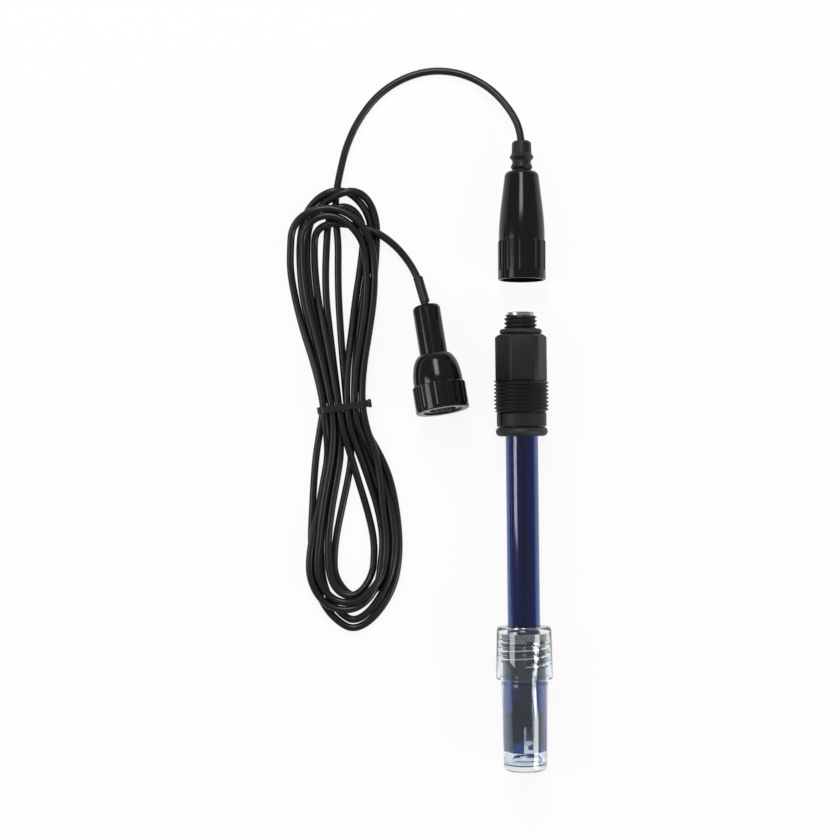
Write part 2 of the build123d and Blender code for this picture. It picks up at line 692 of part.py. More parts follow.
# Turned body: slotted contact fingers, flange, journal and rear barrel
with BuildPart() as plug_body:
    body_rear_end = plug_cover_from_mouth + plug_rear_length
    insulator_seat = plug_insulator_from_mouth + plug_insulator_length
    with BuildSketch(plug_frame):
        Polygon(*ring(contact_finger_recess, plug_cover_from_mouth, 0, journal_diameter), align=None)
        Polygon(*ring(plug_flange_from_mouth, flange_end, 0, plug_flange_diameter), align=None)
        Polygon(*ring(plug_cover_from_mouth, body_rear_end, 0, plug_rear_diameter), align=None)
        Polygon(
            *ring(contact_finger_recess, insulator_seat, 0, contact_finger_bore),
            align=None, mode=Mode.SUBTRACT,
        )
        Polygon(
            *ring(insulator_seat, body_rear_end, 0, cable_diameter + cable_bore_clearance),
            align=None, mode=Mode.SUBTRACT,
        )
    revolve(axis=plug_axis)
    with BuildSketch(across_frame(plug_frame, contact_finger_recess)):
        with PolarLocations(0, contact_finger_slits // 2, angular_range=180):
            Rectangle(1.1 * journal_diameter, contact_finger_slit)
    extrude(amount=contact_finger_length, mode=Mode.SUBTRACT)
plug_body.part.label = "plug_body"
export_step(plug_body.part, "parts/plug_body.step")

with BuildPart() as plug_washer:
    with BuildSketch(plug_frame):
        washer_start = flange_end + plug_washer_play
        Polygon(
            *ring(washer_start, washer_start + plug_washer_thickness, journal_hole, plug_flange_diameter),
            align=None,
        )
    revolve(axis=plug_axis)
plug_washer.part.label = "plug_washer"
export_step(plug_washer.part, "parts/plug_washer.step")

with BuildPart() as plug_gasket:
    with BuildSketch(plug_frame):
        gasket_start = plug_flange_from_mouth - plug_gasket_thickness
        gasket_bore = journal_diameter + 2 * fit_clearance
        Polygon(*ring(gasket_start, plug_flange_from_mouth, gasket_bore, plug_flange_diameter), align=None)
    revolve(axis=plug_axis)
plug_gasket.part.label = "plug_gasket"
export_step(plug_gasket.part, "parts/plug_gasket.step")

with BuildPart() as plug_insulator:
    with BuildSketch(plug_frame):
        Polygon(
            *ring(
                plug_insulator_from_mouth, insulator_seat,
                plug_pin_diameter + 2 * fit_clearance, contact_finger_bore - 2 * fit_clearance,
            ),
            align=None,
        )
    revolve(axis=plug_axis)
plug_insulator.part.label = "plug_insulator"
export_step(plug_insulator.part, "parts/plug_insulator.step")

with BuildPart() as plug_pin:
    with BuildSketch(across_frame(plug_frame, plug_pin_from_mouth)):
        Circle(plug_pin_diameter / 2)
    extrude(amount=plug_pin_length)
    chamfer(plug_pin.edges().group_by(Axis.Y)[0], plug_pin_edge)
plug_pin.part.label = "plug_pin"
export_step(plug_pin.part, "parts/plug_pin.step")

# Crimp ferrule on the cable, behind the body
ferrule_start = body_rear_end + fit_clearance
ferrule_end = ferrule_start + ferrule_length
with BuildPart() as plug_ferrule:
    with BuildSketch(plug_frame):
        ferrule_bore = cable_diameter + cable_bore_clearance
        Polygon(*ring(ferrule_start, ferrule_end, ferrule_bore, ferrule_outer), align=None)
    revolve(axis=plug_axis)
plug_ferrule.part.label = "plug_ferrule"
export_step(plug_ferrule.part, "parts/plug_ferrule.step")

# Rear cover, a plain tube that the grip turns on
with BuildPart() as plug_cover:
    cover_radius = plug_cover_diameter / 2
    cover_inside = cover_radius - plug_cover_wall
    with BuildSketch(plug_frame):
        Polygon(
            (plug_cover_from_mouth, cover_inside), (plug_length - plug_cover_end_wall, cover_inside),
            (plug_length - plug_cover_end_wall, plug_cover_hole / 2), (plug_length, plug_cover_hole / 2),
            (plug_length, cover_radius - plug_cover_edge[0]),
            (plug_length - plug_cover_edge[1], cover_radius - plug_cover_edge[1]),
            (plug_length - plug_cover_edge[0], cover_radius), (plug_cover_from_mouth, cover_radius),
            align=None,
        )
    revolve(axis=plug_axis)
plug_cover.part.label = "plug_cover"
export_step(plug_cover.part, "parts/plug_cover.step")


def cable_corners(route):
    """Radii of a route's corners, each taking its share of the shorter of its two runs."""
    radii = []
    for before, here, after in zip(route, route[1:], route[2:]):
        arriving, leaving = Vector(*here) - Vector(*before), Vector(*after) - Vector(*here)
        half_turn = radians(arriving.get_angle(leaving)) / 2
        radii.append(corner_share * min(arriving.length, leaving.length) / tan(half_turn))
    return radii


# Cable from the boot, over in an arch and in under the hank's upper bends
arch_route = [
    tuple(on_axis(socket_frame, arch_root[0])),
    tuple(on_axis(socket_frame, arch_root[1])),
    (-2.6, 160.4, 5.8),
    (-10.0, 169.2, 3.6),
    (-20.4, 175.0, 1.9),
    (-32.0, 176.4, 1.4),
    (-43.1, 173.3, 1.4),
    (-52.6, 166.9, 1.4),
    (-59.7, 157.6, 1.4),
    (-64.0, 148.3, 1.4),
    (-66.2, 140.0, 1.5),
    (-67.9, 131.9, 1.7),
]
# Cable from the hank's right side down to the bayonet plug
tail_route = [
    (-57.0, 117.1, 4.3),
    (-50.5, 114.1, 4.3),
    (-44.0, 108.6, 2.6),
    (-38.2, 99.9, 2.9),
    tuple(on_axis(plug_frame, tail_root[0])),
    tuple(on_axis(plug_frame, tail_root[1])),
]
arch_radii = cable_corners(arch_route)
tail_radii = cable_corners(tail_route)
print("arch radii", [round(radius, 1) for radius in arch_radii])
print("tail radii", [round(radius, 1) for radius in tail_radii])

with BuildPart() as lead_cable:
    with BuildLine() as arch_line:
        FilletPolyline(*arch_route, radius=arch_radii)
    arch_path = arch_line.wire()
    with BuildSketch(Plane(origin=arch_path @ 0, z_dir=arch_path % 0)):
        Circle(cable_diameter / 2)
    sweep(path=arch_path)
lead_cable.part.label = "lead_cable"
export_step(lead_cable.part, "parts/lead_cable.step")

with BuildPart() as tail_cable:
    with BuildLine() as tail_line:
        FilletPolyline(*tail_route, radius=tail_radii)
    tail_path = tail_line.wire()
    with BuildSketch(Plane(origin=tail_path @ 0, z_dir=tail_path % 0)):
        Circle(cable_diameter / 2)
    sweep(path=tail_path)
tail_cable.part.label = "tail_cable"
export_step(tail_cable.part, "parts/tail_cable.step")

cable_section = pi * cable_diameter**2 / 4
for name, path, cable in (("arch", arch_path, lead_cable), ("tail", tail_path, tail_cable)):
    print(name, "length", round(path.length, 1), "by volume", round(cable.part.volume / cable_section, 1))

# Heat-shrink sleeve on the cable, just behind the plug
sleeve_top, sleeve_bottom = Vector(*tail_route[3]), Vector(*tail_route[4])
sleeve_dir = (sleeve_top - sleeve_bottom).normalized()
with BuildPart() as tail_sleeve:
    sleeve_plane = Plane(origin=sleeve_bottom + sleeve_dir * sleeve_gap, z_dir=sleeve_dir)
    with BuildSketch(sleeve_plane):
        Circle(sleeve_diameter / 2)
        Circle(sleeve_bore / 2, mode=Mode.SUBTRACT)
    extrude(amount=(sleeve_top - sleeve_bottom).length - sleeve_gap - sleeve_end_gap)
tail_sleeve.part.label = "tail_sleeve"
export_step(tail_sleeve.part, "parts/tail_sleeve.step")

# Hank: the outer shape of the tied turns, open in its upper and lower eye
hank_outline = [
    (-65.0, 133.0), (-73.2, 131.0), (-79.7, 125.3), (-84.6, 117.5), (-86.9, 108.6), (-86.4, 96.6),
    (-83.5, 83.1), (-79.2, 69.6), (-75.9, 58.4), (-75.1, 50.2), (-77.3, 38.2), (-78.7, 24.1),
    (-80.2, 8.4), (-81.1, -6.5), (-79.7, -16.2), (-75.4, -25.3), (-69.8, -31.3), (-63.9, -33.8),
    (-57.9, -32.2), (-51.9, -26.6), (-46.9, -18.1), (-44.3, -3.2), (-44.7, 8.8), (-47.6, 22.2),
    (-52.3, 35.0), (-56.3, 43.6), (-57.9, 50.7), (-58.0, 58.9), (-56.0, 70.9), (-53.2, 85.8),
    (-51.9, 99.2), (-52.6, 117.1), (-55.4, 126.9), (-59.4, 131.6),
]
upper_eye = [
    (-69.7, 114.5), (-64.8, 115.6), (-60.0, 109.0), (-60.9, 97.8), (-64.5, 79.2), (-67.6, 72.5),
    (-70.0, 83.7), (-70.8, 101.6),
]
lower_eye = [
    (-63.8, 27.5), (-60.6, 8.0), (-57.4, -6.8), (-58.8, -14.2), (-63.7, -18.3), (-68.1, -14.5),
    (-69.4, -6.7), (-67.4, 10.0),
]
hank_height = hank_layers * cable_diameter
tie_side = (cos(radians(tie_turn)), sin(radians(tie_turn)), 0)
tie_forward = (-sin(radians(tie_turn)), cos(radians(tie_turn)), 0)
tie_inner_middle = hank_floor_gap + tie_band_thickness + tie_inner_height / 2
tie_back = (-tie_forward[0], -tie_forward[1], 0)
tie_plane = Plane(origin=(*tie_centre, tie_inner_middle), x_dir=tie_side, z_dir=tie_back)
with BuildPart() as cable_hank:
    with BuildSketch(Plane.XY.offset(hank_floor_gap)):
        with BuildLine():
            Spline(*hank_outline, periodic=True)
        make_face()
        for eye in (upper_eye, lower_eye):
            with BuildLine():
                Spline(*eye, periodic=True)
            make_face(mode=Mode.SUBTRACT)
    extrude(amount=hank_height)
    # Waist squeezed by the tie
    waist = tie_band_width + 2 * fit_clearance
    with BuildSketch(tie_plane.offset(-waist / 2)):
        Rectangle(3 * tie_inner_width, 4 * hank_height)
        RectangleRounded(
            tie_inner_width - 2 * fit_clearance, tie_inner_height - 2 * fit_clearance,
            tie_corner_radius, mode=Mode.SUBTRACT,
        )
    extrude(amount=waist, mode=Mode.SUBTRACT)
    # Pockets that the two cable ends reach into
    for end, start in ((arch_route[-1], arch_route[-2]), (tail_route[0], tail_route[1])):
        outward = Vector(*start) - Vector(*end)
        with BuildSketch(Plane(origin=end, z_dir=outward)):
            Circle(cable_diameter / 2 + fit_clearance)
        extrude(amount=outward.length + cable_diameter, mode=Mode.SUBTRACT)
cable_hank.part.label = "cable_hank"
export_step(cable_hank.part, "parts/cable_hank.step")

# Tie round the waist, with its small button at the right end
with BuildPart() as hank_tie:
    with BuildSketch(tie_plane.offset(-tie_band_width / 2)):
        RectangleRounded(
            tie_inner_width + 2 * tie_band_thickness, tie_inner_height + 2 * tie_band_thickness,
            tie_corner_radius + tie_band_thickness,
        )
        RectangleRounded(tie_inner_width, tie_inner_height, tie_corner_radius, mode=Mode.SUBTRACT)
    extrude(amount=tie_band_width)
    button_plane = Plane(
        origin=tie_plane.origin + Vector(*tie_side) * (tie_inner_width / 2 + tie_band_thickness / 2),
        z_dir=tie_side,
    )
    with BuildSketch(button_plane):
        Circle(tie_button_diameter / 2)
    extrude(amount=tie_band_thickness / 2 + tie_button_length)
    fillet(hank_tie.edges().filter_by(GeomType.CIRCLE).sort_by(Axis.X)[-1:], tie_button_round)
hank_tie.part.label = "hank_tie"
export_step(hank_tie.part, "parts/hank_tie.step")

print("overall length of the electrode in its vial", round(overall_length, 1))
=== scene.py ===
import math

import bpy
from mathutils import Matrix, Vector


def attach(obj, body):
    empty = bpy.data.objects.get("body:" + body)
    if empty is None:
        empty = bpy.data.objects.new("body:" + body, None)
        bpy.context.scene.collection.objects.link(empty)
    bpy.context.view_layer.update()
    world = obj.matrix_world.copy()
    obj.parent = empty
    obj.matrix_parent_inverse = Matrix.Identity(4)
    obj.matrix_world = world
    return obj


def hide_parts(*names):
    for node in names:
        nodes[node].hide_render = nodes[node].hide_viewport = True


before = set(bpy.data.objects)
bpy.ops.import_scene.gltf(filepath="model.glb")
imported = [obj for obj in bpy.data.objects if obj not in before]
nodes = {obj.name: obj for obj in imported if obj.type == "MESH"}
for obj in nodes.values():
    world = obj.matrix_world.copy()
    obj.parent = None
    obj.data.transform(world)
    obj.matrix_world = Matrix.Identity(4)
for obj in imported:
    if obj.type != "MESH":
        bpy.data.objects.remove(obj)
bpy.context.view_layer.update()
mm = 0.001  # sizes and places below are in mm and degrees, apart from those of the floor and the lamps
axisHeight = 10.5 * mm  # of the electrode's axis above the surface
mergeBelow = 0.002 * mm  # points nearer to each other than this become one
white = (1, 1, 1, 1)
bpy.ops.object.select_all(action="DESELECT")
print("frame loaded,", len(nodes), "nodes")


# camera, straight above, with the photograph's small turn; nearest is where its view begins
camera = {"place": (-37.6, 45.27, 710.4), "turn": -0.64, "lens": 81.08, "nearest": 10}

bpy.ops.object.camera_add(
    location=[value * mm for value in camera["place"]],
    rotation=(0, 0, math.radians(camera["turn"])),
)
bpy.context.scene.camera = bpy.context.object
bpy.context.object.data.lens = camera["lens"]
bpy.context.object.data.clip_start = camera["nearest"] * mm
print("camera set")


# the whole lead as one spline, from the boot to the bayonet plug, in mm
lead = {
    "diameter": 2.75,
    "stepsPerPoint": 6,
    "roundness": 4,
    "exit": (1.28, 148.46, 7.55),
    "arch": [
        (1.23, 144.27, 7.69), (1.31, 151.66, 7.44), (-2.6, 160.4, 5.8), (-10.0, 169.2, 3.6),
        (-20.4, 175.0, 1.9), (-32.0, 176.4, 1.4), (-43.1, 173.3, 1.4), (-52.6, 166.9, 1.4),
        (-59.7, 157.6, 1.4), (-64.0, 148.3, 1.4), (-66.2, 140.0, 1.4), (-67.9, 131.8, 1.4),
        (-68.4, 126.9, 1.4), (-68.3, 121.3, 1.4), (-67.9, 116.1, 1.4),
    ],
    "tail": [
        (-76.0, 115.1, 2.8), (-73.9, 117.7, 4.1), (-69.8, 119.1, 4.15), (-65.2, 118.8, 4.15),
        (-60.7, 117.9, 4.2), (-55.6, 116.6, 4.3), (-50.5, 114.1, 4.3), (-44.0, 108.6, 2.6),
        (-38.2, 99.9, 2.9), (-35.1, 88.77, 5.03), (-34.03, 81.64, 6.15),
    ],
}
# the hank: stations along it, the x and z of its twelve strands there, and the bends that join them
hank = {
    "stations": [111.0, 101.7, 90.5, 79.2, 68.0, 58.7, 50.4, 41.8, 32.5, 23.1, 11.9, 0.7, -8.6],
    "strands": {
        "left1": [(-85.2, 4.2), (-85.6, 2.6), (-83.7, 1.6), (-80.9, 1.9), (-77.3, 3.6), (-74.9, 5.0),
                  (-73.4, 5.4), (-72.6, 4.4), (-72.1, 1.8), (-73.9, 1.5), (-76.0, 2.6), (-78.6, 4.2),
                  (-79.7, 4.2)],
        "left2": [(-82.0, 1.4), (-81.9, 1.4), (-80.9, 1.4), (-78.1, 1.4), (-75.6, 1.5), (-74.3, 2.2),
                  (-73.5, 2.6), (-75.1, 1.6), (-76.7, 1.4), (-77.6, 1.4), (-78.3, 1.4), (-79.0, 1.4),
                  (-78.1, 1.4)],
        "left3": [(-79.3, 1.4), (-79.2, 1.4), (-78.1, 1.4), (-75.3, 1.4), (-72.8, 1.5), (-71.6, 2.2),
                  (-70.7, 2.6), (-70.7, 2.0), (-69.4, 1.4), (-71.1, 1.4), (-73.4, 1.4), (-75.4, 1.4),
                  (-75.2, 1.4)],
        "left4": [(-80.7, 4.4), (-80.6, 3.9), (-79.4, 3.9), (-76.6, 3.9), (-74.0, 4.2), (-72.1, 4.9),
                  (-70.5, 5.4), (-69.9, 4.8), (-70.5, 4.0), (-72.4, 3.9), (-74.5, 4.0), (-76.0, 4.2),
                  (-76.9, 4.2)],
        "left5": [(-76.5, 1.6), (-76.4, 1.4), (-75.3, 1.4), (-73.0, 3.1), (-70.8, 4.0), (-69.3, 4.9),
                  (-67.7, 5.4), (-66.5, 5.1), (-63.6, 4.3), (-61.0, 2.4), (-57.7, 1.4), (-55.2, 1.4),
                  (-55.5, 1.4)],
        "middle1": [(-71.9, 1.4), (-72.4, 1.4), (-72.3, 1.4), (-71.1, 1.4), (-69.9, 1.6), (-68.8, 2.3),
                    (-67.8, 2.6), (-67.7, 2.2), (-67.3, 3.2), (-69.0, 3.3), (-71.1, 3.3), (-72.5, 3.2),
                    (-72.4, 3.5)],
        "middle2": [(-67.5, 1.4), (-67.7, 1.4), (-67.6, 1.4), (-67.0, 1.4), (-66.3, 1.6), (-65.5, 2.3),
                    (-64.9, 2.6), (-64.7, 1.7), (-63.2, 1.4), (-64.8, 1.4), (-67.4, 1.4), (-69.8, 1.4),
                    (-70.5, 1.4)],
        "right1": [(-58.2, 1.4), (-59.4, 1.4), (-61.3, 1.4), (-62.7, 1.8), (-64.2, 3.9), (-64.8, 5.0),
                   (-64.8, 5.4), (-63.6, 5.0), (-60.2, 3.4), (-57.0, 1.5), (-53.5, 1.4), (-51.8, 1.4),
                   (-52.8, 1.5)],
        "right2": [(-55.6, 1.4), (-56.6, 1.4), (-58.5, 1.4), (-60.1, 1.4), (-61.5, 1.6), (-62.0, 2.3),
                   (-62.1, 2.6), (-61.4, 1.7), (-58.0, 1.4), (-54.2, 1.4), (-50.7, 1.4), (-49.0, 1.4),
                   (-50.0, 1.4)],
        "right3": [(-53.2, 1.4), (-53.8, 1.4), (-55.5, 1.4), (-57.2, 1.4), (-58.7, 1.6), (-59.2, 2.3),
                   (-59.2, 2.6), (-58.1, 1.7), (-52.7, 1.4), (-48.9, 1.4), (-46.8, 1.4), (-45.8, 1.4),
                   (-46.3, 1.4)],
        "right4": [(-57.9, 5.4), (-56.8, 4.0), (-57.2, 3.9), (-58.9, 3.9), (-60.9, 4.4), (-61.8, 5.1),
                   (-62.0, 5.4), (-60.5, 4.6), (-55.4, 1.6), (-51.5, 1.4), (-48.7, 3.1), (-47.4, 3.3),
                   (-48.2, 3.2)],
        "right5": [(-54.8, 5.2), (-53.9, 4.0), (-54.4, 3.9), (-56.1, 3.9), (-58.1, 4.4), (-59.1, 5.1),
                   (-59.1, 5.4), (-57.5, 4.7), (-54.1, 3.9), (-52.8, 3.9), (-51.8, 3.9), (-50.4, 3.9),
                   (-51.3, 4.0)],
    },
    # the order in which the cable runs through the strands, each with the bend that comes after it
    "run": [
        ("middle2", [(-69.7, -13.2, 1.4), (-67.5, -17.2, 1.4), (-64.0, -20.4, 1.4),
                     (-59.5, -20.8, 1.4), (-55.0, -18.4, 1.4), (-51.6, -14.0, 1.4)]),
        ("right2", [(-55.0, 115.9, 1.4), (-55.7, 120.8, 1.4), (-57.9, 125.5, 1.4), (-61.0, 129.0, 1.4),
                    (-64.3, 131.1, 2.6), (-68.2, 131.3, 4.2), (-72.1, 130.2, 4.0), (-76.2, 127.4, 2.8),
                    (-79.5, 123.1, 1.6), (-81.2, 117.3, 1.4)]),
        ("left2", [(-77.3, -16.1, 1.4), (-74.5, -23.7, 1.4), (-69.7, -29.5, 1.4), (-64.0, -33.0, 1.4),
                   (-57.9, -30.6, 1.4), (-52.1, -24.3, 1.4), (-48.0, -16.5, 1.4)]),
        ("right3", [(-52.9, 118.5, 1.4), (-54.5, 125.2, 1.8), (-57.6, 129.6, 3.4), (-61.8, 131.2, 4.6),
                    (-65.9, 130.2, 5.0), (-69.9, 128.4, 4.2), (-73.7, 125.8, 3.4), (-76.9, 121.9, 1.8),
                    (-78.7, 116.9, 1.4)]),
        ("left3", [(-74.5, -15.4, 1.4), (-71.9, -22.2, 1.4), (-67.8, -27.1, 1.4), (-63.6, -29.8, 1.4),
                   (-58.6, -27.5, 1.7), (-53.9, -21.9, 2.4), (-50.2, -15.2, 3.0)]),
        ("right4", [(-60.4, 115.4, 6.8), (-64.1, 119.4, 6.9), (-68.7, 121.6, 6.9), (-73.4, 121.7, 6.9),
                    (-77.5, 119.6, 6.7), (-80.2, 115.8, 5.4)]),
        ("left4", [(-76.2, -13.7, 4.2), (-73.8, -18.4, 4.2), (-69.9, -21.8, 4.2), (-65.4, -22.7, 4.6),
                   (-60.5, -21.5, 5.6), (-55.8, -17.4, 6.4), (-52.6, -12.7, 5.4)]),
        ("right5", [(-57.8, 117.1, 6.9), (-61.9, 121.4, 6.9), (-66.7, 123.9, 6.9), (-72.0, 124.6, 6.9),
                    (-77.5, 123.4, 6.9), (-82.0, 120.6, 6.2), (-84.7, 116.3, 5.0)]),
        ("left1", [(-79.1, -14.0, 4.2), (-76.8, -19.4, 4.2), (-72.7, -23.8, 4.2), (-67.3, -25.5, 4.2),
                   (-61.9, -24.8, 4.2), (-57.1, -21.0, 3.8), (-53.8, -15.4, 2.2)]),
        ("right1", [(-57.9, 116.0, 1.4), (-58.9, 120.3, 1.4), (-61.1, 123.7, 2.2), (-64.3, 125.3, 4.0),
                    (-67.7, 124.9, 4.3), (-70.0, 122.7, 2.8), (-71.1, 119.7, 1.4), (-71.6, 115.7, 1.4)]),
        ("middle1", [(-71.6, -13.6, 3.7), (-69.7, -17.4, 4.0), (-66.8, -19.7, 4.2),
                     (-63.4, -20.1, 4.2), (-60.3, -18.5, 4.0), (-57.8, -15.3, 3.0),
                     (-56.2, -11.8, 1.8)]),
        ("left5", []),
    ],
}

leadPoints = list(lead["arch"])
downwards = True
for strandName, bend in hank["run"]:
    strand = [(x, y, z) for y, (x, z) in zip(hank["stations"], hank["strands"][strandName])]
    leadPoints += strand if downwards else strand[::-1]
    leadPoints += bend
    downwards = not downwards
leadPoints += lead["tail"]

leadCurve = bpy.data.curves.new("leadCable", "CURVE")
leadCurve.dimensions = "3D"
leadSpline = leadCurve.splines.new("NURBS")
leadSpline.points.add(len(leadPoints) - 1)
for point, place in zip(leadSpline.points, leadPoints):
    point.co = (*(value * mm for value in place), 1)
leadSpline.order_u = 3
leadSpline.use_endpoint_u = True
leadSpline.resolution_u = lead["stepsPerPoint"]
leadCurve.bevel_depth = lead["diameter"] / 2 * mm
leadCurve.bevel_resolution = lead["roundness"]
leadCable = bpy.data.objects.new("leadCable", leadCurve)
bpy.context.collection.objects.link(leadCable)
print("cable laid,", len(leadPoints), "points")


def linear(hexText):
    # sRGB hex colour to the linear values that a shader takes
    parts = [int(hexText[i:i + 2], 16) / 255 for i in (1, 3, 5)]
    return (*(p / 12.92 if p <= 0.04045 else ((p + 0.055) / 1.055) ** 2.4 for p in parts), 1)


def addNode(tree, kind, settings=None, links=None):
    # one shader node: settings are its inputs or properties, links are its inputs fed by other nodes
    made = tree.nodes.new(kind)
    for key, value in (settings or {}).items():
        if key in made.inputs:
            made.inputs[key].default_value = value
        else:
            setattr(made, key, value)
    for key, output in (links or {}).items():
        tree.links.new(output, made.inputs[key])
    return made


# each finish starts from the real material: colours, roughness range, and the size of its grain in mm,
# which is often coarser than the real one, because a pixel of the photograph is 0.37 mm
finishes = {
    # moulded polypropylene with a fine spark-eroded grain: dull black, soft wide highlights
    "mouldedPolypropylene": {"colour": "#121415", "colour2": "#181b1c", "rough": (0.42, 0.54), "grain": 0.35,
                             "bump": 0.06, "stretch": (1, 1, 1), "specular": 0.3},
    # polished ABS mouldings of the connectors: deep black, sharp highlights, faint rub marks
    "polishedAbs": {"colour": "#0b0c0d", "colour2": "#101112", "rough": (0.10, 0.18), "grain": 1.2,
                    "bump": 0.015, "stretch": (1, 0.3, 1), "specular": 0.3},
    # nitrile rubber O-rings: dull, slightly blue grey where light falls on them
    "nitrileRubber": {"colour": "#1c2021", "colour2": "#232829", "rough": (0.45, 0.58), "grain": 0.25,
                      "bump": 0.05, "stretch": (1, 1, 1), "specular": 0.35},
    # soft PVC of the boot, the shrink sleeve and the tie: satin, a little uneven
    "softPvc": {"colour": "#111213", "colour2": "#171819", "rough": (0.34, 0.46), "grain": 0.5,
                "bump": 0.05, "stretch": (1, 1, 1), "specular": 0.35},
    # extruded PVC cable jacket: satin black with faint waves from the extrusion
    "pvcJacket": {"colour": "#111313", "colour2": "#161819", "rough": (0.28, 0.4), "grain": 1.6,
                  "bump": 0.03, "stretch": (1, 1, 1), "specular": 0.35},
    # turned brass parts under nickel: bright and slightly warm, with fine turning lines
    "nickelledBrass": {"colour": "#b9b8b4", "colour2": "#a5a4a0", "rough": (0.2, 0.32), "grain": 0.15,
                       "bump": 0.02, "stretch": (1, 3, 1), "metallic": 1.0},
    # gold plated centre pin
    "goldPlate": {"colour": "#e0b25a", "colour2": "#cc9d48", "rough": (0.15, 0.24), "grain": 0.2,
                  "bump": 0.01, "stretch": (1, 1, 1), "metallic": 1.0},
    # drawn silver wire, dulled by its silver chloride coat
    "chloridedSilver": {"colour": "#8d8a86", "colour2": "#6f6b69", "rough": (0.35, 0.5), "grain": 0.4,
                        "bump": 0.05, "stretch": (1, 0.3, 1), "metallic": 0.6},
    # turned PTFE insulators: waxy white
    "turnedPtfe": {"colour": "#e6e5df", "colour2": "#dcdbd4", "rough": (0.32, 0.44), "grain": 0.3,
                   "bump": 0.02, "stretch": (1, 1, 1)},
    # silicone bungs and gasket: mid grey, dull
    "greySilicone": {"colour": "#5a5b5c", "colour2": "#4d4e50", "rough": (0.5, 0.62), "grain": 0.4,
                     "bump": 0.04, "stretch": (1, 1, 1)},
    # porous ceramic of the diaphragm: chalky, unglazed
    "porousCeramic": {"colour": "#e3ddd0", "colour2": "#cfc8b8", "rough": (0.8, 0.9), "grain": 0.12,
                      "bump": 0.2, "stretch": (1, 1, 1)},
    # polycarbonate tube dyed dark blue: clear, glossy, with flow lines along it
    "bluePolycarbonate": {"colour": "#163878", "colour2": "#24509a", "rough": (0.05, 0.09), "grain": 0.2,
                          "bump": 0.01, "stretch": (1, 0.02, 1), "transmission": 1.0, "ior": 1.58,
                          "specular": 0.3},
    # polystyrene of the vial and its cap: water clear and glossy, with faint flow waves
    "clearPolystyrene": {"colour": "#f4f8fb", "colour2": "#eef4f8", "rough": (0.02, 0.05), "grain": 3.0,
                         "bump": 0.02, "stretch": (1, 0.4, 1), "transmission": 1.0, "ior": 1.58},
    # translucent silicone ring under the cap: milky
    "clearSilicone": {"colour": "#dfe5e8", "colour2": "#d2dadd", "rough": (0.3, 0.4), "grain": 0.6,
                      "bump": 0.02, "stretch": (1, 1, 1), "transmission": 0.75, "ior": 1.41},
    # drawn glass of the stem and the blown bulb: so thin that it shines and barely bends what is behind it
    "blownGlass": {"colour": "#f2f6f6", "colour2": "#e9f0f0", "rough": (0.0, 0.02), "grain": 2.5,
                   "bump": 0.02, "stretch": (1, 0.2, 1), "alpha": 0.18},
    # potassium chloride solution in the vial
    "storageSolution": {"colour": "#f6faff", "colour2": "#f2f8ff", "rough": (0.0, 0.01), "grain": 4.0,
                        "bump": 0.0, "stretch": (1, 1, 1), "transmission": 1.0, "ior": 1.34},
}

# shared by all finishes: fine grain, large faint clouds of the second colour, and the bump's height in mm
pattern = {"grainScale": 1.0, "grainDetail": 3.0, "cloudScale": 0.08, "cloudDetail": 2.0, "bumpHeight": 0.2}
mixColours = (6, 7)  # the colour inputs of a Mix node
mixResult = 2  # its colour output
materials = {}
for finishName, finish in finishes.items():
    material = bpy.data.materials.new(finishName)
    material.use_nodes = True
    tree = material.node_tree
    shader = tree.nodes["Principled BSDF"]
    shader.inputs["Metallic"].default_value = finish.get("metallic", 0.0)
    shader.inputs["Transmission Weight"].default_value = finish.get("transmission", 0.0)
    shader.inputs["Alpha"].default_value = finish.get("alpha", 1.0)
    shader.inputs["Specular IOR Level"].default_value = finish.get("specular", 0.5)
    if "ior" in finish:
        shader.inputs["IOR"].default_value = finish["ior"]
    place = addNode(tree, "ShaderNodeTexCoord")
    scale = [part / (finish["grain"] * mm) for part in finish["stretch"]]
    sized = addNode(tree, "ShaderNodeMapping", {"Scale": scale}, {"Vector": place.outputs["Object"]})
    grain = addNode(
        tree, "ShaderNodeTexNoise", {"Scale": pattern["grainScale"], "Detail": pattern["grainDetail"]},
        {"Vector": sized.outputs["Vector"]},
    )
    clouds = addNode(
        tree, "ShaderNodeTexNoise", {"Scale": pattern["cloudScale"], "Detail": pattern["cloudDetail"]},
        {"Vector": sized.outputs["Vector"]},
    )
    tint = addNode(tree, "ShaderNodeMix", {"data_type": "RGBA"}, {"Factor": clouds.outputs["Fac"]})
    for index, colour in zip(mixColours, (finish["colour"], finish["colour2"])):
        tint.inputs[index].default_value = linear(colour)
    low, high = finish["rough"]
    rough = addNode(
        tree, "ShaderNodeMapRange", {"To Min": low, "To Max": high}, {"Value": grain.outputs["Fac"]},
    )
    bump = addNode(
        tree, "ShaderNodeBump", {"Strength": finish["bump"], "Distance": pattern["bumpHeight"] * mm},
        {"Height": grain.outputs["Fac"]},
    )
    tree.links.new(tint.outputs[mixResult], shader.inputs["Base Color"])
    tree.links.new(rough.outputs["Result"], shader.inputs["Roughness"])
    tree.links.new(bump.outputs["Normal"], shader.inputs["Normal"])
    materials[finishName] = material
print("materials made,", len(materials))


def dress(piece, finishName):
    piece.data.materials.clear()
    piece.data.materials.append(materials[finishName])


